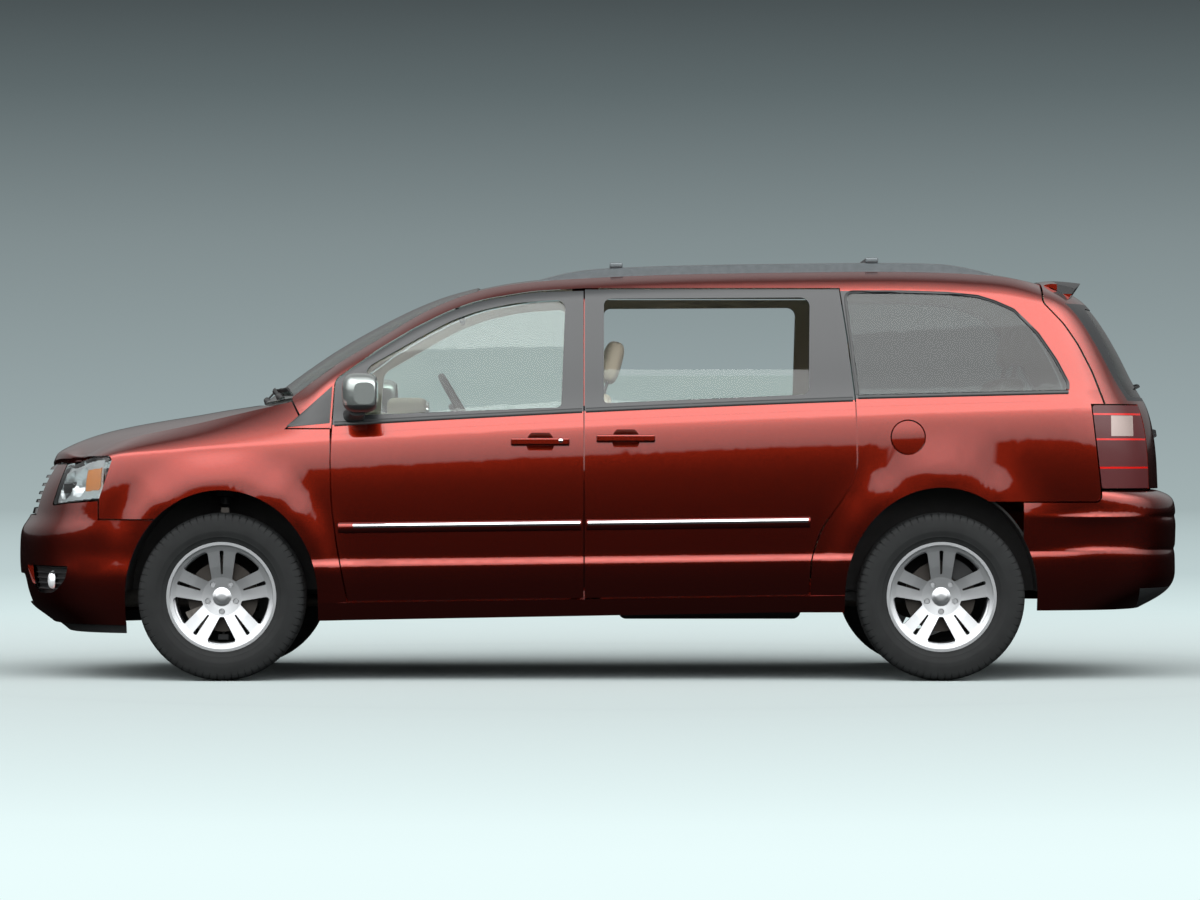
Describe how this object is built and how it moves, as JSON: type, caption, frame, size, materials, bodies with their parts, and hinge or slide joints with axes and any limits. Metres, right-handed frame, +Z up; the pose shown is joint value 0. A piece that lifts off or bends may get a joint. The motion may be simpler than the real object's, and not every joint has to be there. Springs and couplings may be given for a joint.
{
  "type": "minivan",
  "caption": "Seven-seat minivan with hinged front doors, sliding side doors, liftgate, hood, roof rails and steered front wheels.",
  "frame": {"origin": "on the ground at the bottom centre of the bounding box", "axes": "+X to the front of the vehicle, +Y to its left side, +Z up"},
  "size_m": [5.1156, 2.2802, 1.822],
  "materials": {
    "body_paint": "metallic clear coat",
    "clear_glass": "polished",
    "tinted_glass": "polished dark tint",
    "dark_trim": "fine grain",
    "bright_trim": "polished",
    "lamp_lens": "polished",
    "red_lens": "polished",
    "tyre_rubber": "matte",
    "wheel_alloy": "painted silver",
    "underbody": "matte underseal",
    "dark_steel": "satin black",
    "cast_metal": "cast",
    "tank_plastic": "moulded",
    "exhaust_steel": "dull",
    "seat_cloth": "woven",
    "cabin_plastic": "fine grain",
    "grip": "smooth",
    "rail_grey": "satin"
  },
  "bodies": {
    "body": {"sliding_door_left": "body_paint", "fender_left": "body_paint", "body_side_left": "body_paint", "sliding_door_right": "body_paint", "fender_right": "body_paint", "body_side_right": "body_paint", "side_glass": "tinted_glass", "windshield": "clear_glass", "roof_panel": "body_paint", "front_bumper": "body_paint", "air_dam": "dark_trim", "grille": "bright_trim", "headlamps": "lamp_lens", "tail_lamps": "red_lens", "rear_bumper": "body_paint", "floor_pan": "underbody", "front_frame": "underbody", "front_suspension": "dark_steel", "engine": "cast_metal", "rear_axle": "dark_steel", "fuel_tank": "tank_plastic", "exhaust": "exhaust_steel", "front_seats": "seat_cloth", "middle_seats": "seat_cloth", "rear_bench": "seat_cloth", "dashboard": "cabin_plastic", "roof_rails": "rail_grey"},
    "front_door_left_assembly": {"front_door_left": "body_paint", "front_door_glass_left": "clear_glass", "mirror_left": "dark_trim"},
    "front_door_right_assembly": {"front_door_right": "body_paint", "front_door_glass_right": "clear_glass", "mirror_right": "dark_trim"},
    "hood_lid": {"hood": "body_paint"},
    "liftgate_assembly": {"liftgate": "body_paint", "liftgate_glass": "tinted_glass"},
    "fuel_flap": {"fuel_door": "body_paint"},
    "steering_wheel_assembly": {"steering_wheel": "grip"},
    "steered_hub_left": {"knuckle_left": "cast_metal"},
    "steered_hub_right": {"knuckle_right": "cast_metal"},
    "wheel_front_left": {"tyre_front_left": "tyre_rubber", "rim_front_left": "wheel_alloy"},
    "wheel_front_right": {"tyre_front_right": "tyre_rubber", "rim_front_right": "wheel_alloy"},
    "wheel_rear_left": {"tyre_rear_left": "tyre_rubber", "rim_rear_left": "wheel_alloy"},
    "wheel_rear_right": {"tyre_rear_right": "tyre_rubber", "rim_rear_right": "wheel_alloy"}
  },
  "joints": [
    {"name": "front_door_left_hinge", "type": "hinge", "parent": "body", "child": "front_door_left_assembly", "pos_m": [1.1175, 0.96, 0.9], "axis": [0, 0, -1], "range_deg": [0, 68]},
    {"name": "front_door_right_hinge", "type": "hinge", "parent": "body", "child": "front_door_right_assembly", "pos_m": [1.1175, -0.96, 0.9], "axis": [0, 0, 1], "range_deg": [0, 68]},
    {"name": "hood_hinge", "type": "hinge", "parent": "body", "child": "hood_lid", "pos_m": [1.344, 0, 1.187], "axis": [0, -1, 0], "range_deg": [0, 55]},
    {"name": "liftgate_hinge", "type": "hinge", "parent": "body", "child": "liftgate_assembly", "pos_m": [-1.918, 0, 1.746], "axis": [0, 1, 0], "range_deg": [0, 85]},
    {"name": "fuel_door_hinge", "type": "hinge", "parent": "body", "child": "fuel_flap", "pos_m": [-1.2455, 0.9524, 1.04], "axis": [0, 0, -1], "range_deg": [0, 95]},
    {"name": "steer_left", "type": "hinge", "parent": "body", "child": "steered_hub_left", "pos_m": [1.6145, 0.7905, 0.2], "axis": [0, -0.2095, 0.9778], "range_deg": [-35, 35]},
    {"name": "steer_right", "type": "hinge", "parent": "body", "child": "steered_hub_right", "pos_m": [1.6145, -0.7905, 0.2], "axis": [0, 0.2095, 0.9778], "range_deg": [-35, 35]},
    {"name": "steering_wheel_turn", "type": "hinge", "parent": "body", "child": "steering_wheel_assembly", "pos_m": [0.5985, 0.37, 1.148], "axis": [-0.866, 0, 0.5], "range_deg": [-540, 540]},
    {"name": "spin_front_left", "type": "hinge", "parent": "steered_hub_left", "child": "wheel_front_left", "pos_m": [1.6145, 0.8255, 0.36], "axis": [0, 1, 0], "continuous": true},
    {"name": "spin_front_right", "type": "hinge", "parent": "steered_hub_right", "child": "wheel_front_right", "pos_m": [1.6145, -0.8255, 0.36], "axis": [0, 1, 0], "continuous": true},
    {"name": "spin_rear_left", "type": "hinge", "parent": "body", "child": "wheel_rear_left", "pos_m": [-1.4635, 0.823, 0.36], "axis": [0, 1, 0], "continuous": true},
    {"name": "spin_rear_right", "type": "hinge", "parent": "body", "child": "wheel_rear_right", "pos_m": [-1.4635, -0.823, 0.36], "axis": [0, 1, 0], "continuous": true}
  ],
  "couplings": [
    {"joint": "steer_right", "follows": "steer_left", "ratio": 1},
    {"joint": "steering_wheel_turn", "follows": "steer_left", "ratio": 15.4}
  ]
}
